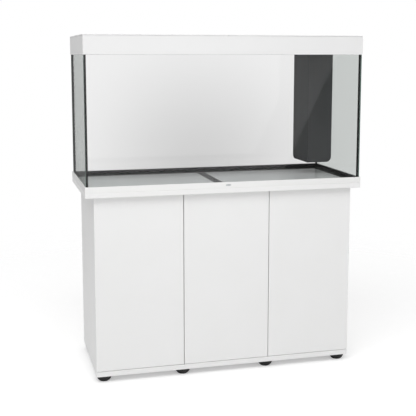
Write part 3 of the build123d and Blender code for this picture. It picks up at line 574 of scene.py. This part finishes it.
# ---- Light unit -------------------------------------------------------------------------------
# Two white-masked circuit boards behind a clear acrylic cover, each with a row of square surface
# mounted diodes: a white moulded body with a drop of yellow phosphor in it.
board_mask = solid_finish(
    "white_solder_mask", "#E9E9E2", "#F1F1EB", 6.0, 0.5, 0.01, {"Roughness": 0.35, "IOR": 1.55}
)
give(board_mask, "led_strips")
BOARD_ROW_IN = 0.00716  # from a board's outer edge to its row of chips
CHIP_PITCH = 0.015
CHIP_END = 0.012  # from the board's end to the first chip's centre
CHIP_BODY = ((3.4, 0.0), (3.4, 0.6), (3.0, 0.9))  # half diagonal of a square body, and height, mm
CHIP_LENS = ((1.9, 0.85), (1.7, 1.0), (1.0, 1.15), (0.2, 1.2))
phosphor = solid_finish(
    "led_phosphor", "#D8BE4A", "#E2CB5E", 1.0, 0.2, 0.005, {"Roughness": 0.3, "IOR": 1.41}
)
boards_low, boards_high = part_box("led_strips")
chip_count = int((boards_high.x - boards_low.x - 2 * CHIP_END) / CHIP_PITCH) + 1
chip_x = (np.arange(chip_count) - (chip_count - 1) / 2) * CHIP_PITCH
chip_bodies, chip_lenses = [], []
for row_y in (boards_low.y + BOARD_ROW_IN, boards_high.y - BOARD_ROW_IN):
    for x in chip_x:
        place = (x, row_y, boards_low.z)
        chip_bodies.append(turned(CHIP_BODY, place, (0, 0, -1), 4))
        chip_lenses.append(turned(CHIP_LENS, place, (0, 0, -1), 8))
for name, tubes, finish in (
    ("led_bodies", chip_bodies, board_mask),
    ("led_lenses", chip_lenses, phosphor),
):
    recalculate(mesh_piece(name, *join_tubes(tubes), finish, ROOT, "led_board"))
acrylic, acrylic_tree = new_material("clear_acrylic")
acrylic_mix = add_node(
    acrylic_tree,
    "MixShader",
    links={
        0: add_node(acrylic_tree, "Fresnel", {"IOR": 1.49}).outputs[0],
        1: add_node(acrylic_tree, "BsdfTransparent", {"Color": linear("#F4F6F6")}).outputs[0],
        2: add_node(acrylic_tree, "BsdfAnisotropic", {"Roughness": 0.12}).outputs[0],
    },
)
finish_material(acrylic_tree, acrylic_mix)
give(acrylic, "light_diffuser")

# ---- Corner filter ------------------------------------------------------------------------------
# A tall box moulded in black ABS from a polished tool; it is drawn an even dark grey, lighter than
# the black plastic, with hardly a mirror of its own: the grey is partly painted sheen, standing in for
# the polished box's mirror. A slotted basket with a block of open-celled foam, a pump and a heater
# stand inside it.
filter_black_and_sheen = solid_finish(
    "black_abs_with_painted_sheen",
    # Dark grey body colour: black plastic with painted sheen for the polished surface's mirror.
    "#4B4C4D",
    "#505152",
    60.0,
    6.0,
    0.02,
    {"IOR": 1.45, "Specular IOR Level": 0.002},
    rough=(0.2, 0.3),
)
give(filter_black_and_sheen, "filter_box")
give(black_abs, "filter_basket", "pump_body", "outlet_nozzle", "heater_cap")
impeller_grey = solid_finish(
    "moulded_grey_nylon", "#A9ABAE", "#B5B7BA", 4.0, 0.4, 0.01, {"Roughness": 0.4, "IOR": 1.53}
)
give(impeller_grey, "impeller", "heater_knob")
give(float_glass("heater_glass", "Z", "#E4E8E8", 0.8), "heater_tube")
PORE_MM = 2.0
STRUT_HEIGHT_MM = 0.8


def open_cell_foam():
    """Blue reticulated foam: blue struts, with the pores about 2 mm across between them painted dark,
    as painted shade in the open holes.
    """
    material, tree = new_material("open_cell_foam")
    place = add_node(tree, "TexCoord")
    cells = add_node(
        tree,
        "TexVoronoi",
        {"feature": "DISTANCE_TO_EDGE", "Scale": 1 / (PORE_MM * MM)},
        {"Vector": place.outputs["Object"]},
    )
    # The pore centres are painted a dark blue, painted shade in the open holes; the struts keep the
    # foam's own blue.
    strut_blue_and_pore_shade = add_node(tree, "ValToRGB", links={"Fac": cells.outputs["Distance"]})
    strut_blue_and_pore_shade.color_ramp.elements[0].color = linear("#3F6C94")
    strut_blue_and_pore_shade.color_ramp.elements[1].color = linear("#12222F")
    strut_blue_and_pore_shade.color_ramp.elements[1].position = 0.35
    relief = add_node(
        tree,
        "Bump",
        {"Strength": 0.8, "Distance": STRUT_HEIGHT_MM * MM, "invert": True},
        {"Height": cells.outputs["Distance"]},
    )
    shader = add_node(
        tree,
        "BsdfPrincipled",
        {"Roughness": 0.9},
        {"Base Color": strut_blue_and_pore_shade.outputs["Color"], "Normal": relief.outputs["Normal"]},
    )
    finish_material(tree, shader)
    return material


FOAM_ROUND = 0.004
FOAM_SQUARENESS = 0.12  # the power in its rounded rectangles; 1 would make them ellipses
FOAM_UNEVEN = 0.0004  # how far the hot wire that cut the block wandered
FOAM_WAVES = ((0, 0, 190), (330, 170, 0), (0, 410, -90))  # radians a metre along X, Y and Z
FOAM_CLEAR = 0.0006  # between the foam and its basket
FOAM_ROUND_STEPS = 5
FOAM_END_STEPS = 8
FOAM_END_REACH = (0.03, 0.97)  # the first and last ring on an end, as shares of the half length
FOAM_SIDE_STEPS = 38
FOAM_AROUND = 96


def foam_block(low, high, rounding):
    """A cut block: its rings are rounded rectangles, half size times (sign(cos a)|cos a|^power,
    sign(sin a)|sin a|^power); they draw in by a quarter circle at the top and bottom edges and then
    to the middle of each end, and every point is moved a little by a sum of three sines of its
    place, as the cutter wandered."""
    centre, half = (low + high) / 2, (high - low) / 2
    angle = np.linspace(0, 2 * math.pi, FOAM_AROUND, endpoint=False)
    ring_x = np.sign(np.cos(angle)) * np.abs(np.cos(angle)) ** FOAM_SQUARENESS
    ring_y = np.sign(np.sin(angle)) * np.abs(np.sin(angle)) ** FOAM_SQUARENESS
    quarter = np.linspace(0, math.pi / 2, FOAM_ROUND_STEPS)
    end_reach = np.linspace(*FOAM_END_REACH, FOAM_END_STEPS) * half[0]
    round_reach = half[0] - rounding * (1 - np.sin(quarter))
    end_level = np.full(FOAM_END_STEPS, -half[2])
    round_level = -half[2] + rounding * (1 - np.cos(quarter))
    inwards = np.concatenate([end_reach, round_reach])
    level = np.concatenate([end_level, round_level])
    side = np.linspace(-1, 1, FOAM_SIDE_STEPS + 2)[1:-1] * (half[2] - rounding)
    reach = np.concatenate([inwards, np.full(len(side), half[0]), inwards[::-1]])
    z = np.concatenate([level, side, -level[::-1]])
    x = reach[:, None] * ring_x
    y = (reach * half[1] / half[0])[:, None] * ring_y
    points = np.stack([x, y, z[:, None] + 0 * x], -1)
    wander = np.sin(points @ np.asarray(FOAM_WAVES, float).T).sum(-1)
    points *= 1 + FOAM_UNEVEN * wander[..., None] / (len(FOAM_WAVES) * half[0])
    return points.reshape(-1, 3) + centre, len(z), len(angle)


foam_low, foam_high = (np.asarray(v, float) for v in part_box("filter_sponge"))
foam = mesh_piece(
    "filter_foam",
    *join_tubes([foam_block(foam_low + FOAM_CLEAR, foam_high - FOAM_CLEAR, FOAM_ROUND)]),
    open_cell_foam(),
    ROOT,
    "sponge",
)
recalculate(foam)
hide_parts("filter_sponge")

# ---- Floor, light and camera ----------------------------------------------------------------------
# A round pale studio floor that fades into a white room, so there is no line where they meet. One
# large soft box hangs overhead, and a second one, hung askew behind the camera, mirrors faintly in
# the front pane; a backdrop that darkens towards the floor shows through the glass.
FLOOR_RADIUS = 6.0
FLOOR_SOLID = 0.9  # radius of the part that does not fade
FLOOR_FADED = 3.2
FLOOR_GLOW = 0.38  # seen by the camera alone, so that the floor is near white and lights nothing
FLOOR_GREY = "#DCDCDC"
FLOOR_SIDES = 96
turn = np.linspace(0, 2 * math.pi, FLOOR_SIDES, endpoint=False)
floor_rim = np.stack([FLOOR_RADIUS * np.cos(turn), FLOOR_RADIUS * np.sin(turn), 0 * turn], -1)
floor_mesh = bpy.data.meshes.new("studio_floor")
floor_mesh.from_pydata(floor_rim.tolist(), [], [tuple(range(len(turn)))])
studio_floor = bpy.data.objects.new("studio_floor", floor_mesh)
bpy.context.scene.collection.objects.link(studio_floor)
floor_paint, floor_tree = new_material("pale_floor_paint")
floor_place = add_node(floor_tree, "TexCoord")
from_middle = add_node(
    floor_tree, "VectorMath", {"operation": "LENGTH"}, {"Vector": floor_place.outputs["Object"]}
)
fade = add_node(
    floor_tree,
    "MapRange",
    {"interpolation_type": "SMOOTHSTEP", "From Min": FLOOR_SOLID, "From Max": FLOOR_FADED},
    {"Value": from_middle.outputs["Value"]},
)
floor_sight = add_node(floor_tree, "LightPath")
floor_glow = add_node(
    floor_tree,
    "Math",
    {"operation": "MULTIPLY", 1: FLOOR_GLOW},
    {0: floor_sight.outputs["Is Camera Ray"]},
)
floor_shader = add_node(
    floor_tree,
    "BsdfPrincipled",
    {
        "Base Color": linear(FLOOR_GREY),
        "Roughness": 0.8,
        "Specular IOR Level": 0.1,
        "Emission Color": linear("#FFFFFF"),
    },
    {"Emission Strength": floor_glow.outputs[0]},
)
floor_gone = add_node(floor_tree, "BsdfTransparent")
floor_mix = add_node(
    floor_tree,
    "MixShader",
    links={0: fade.outputs["Result"], 1: floor_shader.outputs[0], 2: floor_gone.outputs[0]},
)
finish_material(floor_tree, floor_mix)
floor_mesh.materials.append(floor_paint)


def soft_box(name, place, target, width, height, power, roll=0.0):
    """A rectangular area light, its size in metres and its power in watts, that faces a point and is
    turned by roll degrees about its own axis."""
    data = bpy.data.lights.new(name, "AREA")
    data.shape = "RECTANGLE"
    data.size = width
    data.size_y = height
    data.energy = power
    lamp = bpy.data.objects.new(name, data)
    bpy.context.scene.collection.objects.link(lamp)
    lamp.location = place
    lamp.rotation_mode = "QUATERNION"
    aim = (Vector(target) - Vector(place)).to_track_quat("-Z", "Y")
    lamp.rotation_quaternion = aim @ Quaternion((0, 0, 1), math.radians(roll))
    return lamp


OVERHEAD_PLACE = (-1.2, -2.4, 4.4)
OVERHEAD_TARGET = (0, 0, 0.8)
soft_box("overhead_soft_box", OVERHEAD_PLACE, OVERHEAD_TARGET, width=4.0, height=2.4, power=103.0)
CARD_PLACE = (0.694, -4.2, 1.72)
CARD_TARGET = (0.694, 0, 1.72)
CARD_ROLL = -25.9  # the slope of the pale line that it leaves across the front pane
front_card = soft_box(
    "front_card", CARD_PLACE, CARD_TARGET, width=3.0, height=4.0, power=42.0, roll=CARD_ROLL
)
front_card.visible_diffuse = False

ROOM_FOR_DIFFUSE = 0.7
ROOM_FOR_GLOSS = 0.4
THROUGH_A_PANE = 1.5  # a sight line crosses two faces of a pane, but only one of the floor
DOME_LOW = 0.62  # the backdrop behind the tank, at the middle of its foot
DOME_HIGH = 0.88
DOME_SPREAD = 0.18
DOME_CENTRE = (0.242, 0.961, -0.130)  # direction in which the backdrop is darkest
world = bpy.data.worlds.new("studio_room")
bpy.context.scene.world = world
world.use_nodes = True
room = world.node_tree
room.nodes.clear()
path = add_node(room, "LightPath")
sight = add_node(room, "TexCoord")
from_centre = add_node(
    room,
    "VectorMath",
    {"operation": "DISTANCE", 1: DOME_CENTRE},
    {0: sight.outputs["Generated"]},
)
dome = add_node(
    room,
    "MapRange",
    {
        "interpolation_type": "SMOOTHSTEP",
        "From Max": DOME_SPREAD,
        "To Min": DOME_LOW,
        "To Max": DOME_HIGH,
    },
    {"Value": from_centre.outputs["Value"]},
)
open_air = add_node(room, "Background", {"Color": (1, 1, 1, 1), "Strength": 1.0})
behind_glass = add_node(
    room, "Background", {"Color": (1, 1, 1, 1)}, {"Strength": dome.outputs["Result"]}
)
for_diffuse = add_node(room, "Background", {"Color": (1, 1, 1, 1), "Strength": ROOM_FOR_DIFFUSE})
for_gloss = add_node(room, "Background", {"Color": (1, 1, 1, 1), "Strength": ROOM_FOR_GLOSS})
through_pane = add_node(
    room,
    "Math",
    {"operation": "GREATER_THAN", 1: THROUGH_A_PANE},
    {0: path.outputs["Transparent Depth"]},
)
seen = add_node(
    room,
    "MixShader",
    links={0: through_pane.outputs[0], 1: open_air.outputs[0], 2: behind_glass.outputs[0]},
)
unseen = add_node(
    room,
    "MixShader",
    links={0: path.outputs["Is Glossy Ray"], 1: for_diffuse.outputs[0], 2: for_gloss.outputs[0]},
)
room_mix = add_node(
    room,
    "MixShader",
    links={0: path.outputs["Is Camera Ray"], 1: unseen.outputs[0], 2: seen.outputs[0]},
)
add_node(room, "OutputWorld", links={"Surface": room_mix.outputs[0]})

bpy.context.scene.view_settings.view_transform = "Standard"

CAMERA_PLACE = (-0.985, -3.663, 1.368)
CAMERA_YAW = 14.72
CAMERA_PITCH = -7.69
CAMERA_LENS = 73.41
CAMERA_SENSOR = 36.0
CAMERA_SHIFT = -0.09
camera_data = bpy.data.cameras.new("camera")
camera_data.lens = CAMERA_LENS
camera_data.sensor_width = CAMERA_SENSOR
camera_data.shift_y = CAMERA_SHIFT
camera = bpy.data.objects.new("camera", camera_data)
bpy.context.scene.collection.objects.link(camera)
camera.location = CAMERA_PLACE
camera.rotation_euler = (math.radians(90 + CAMERA_PITCH), 0, -math.radians(CAMERA_YAW))
bpy.context.scene.camera = camera
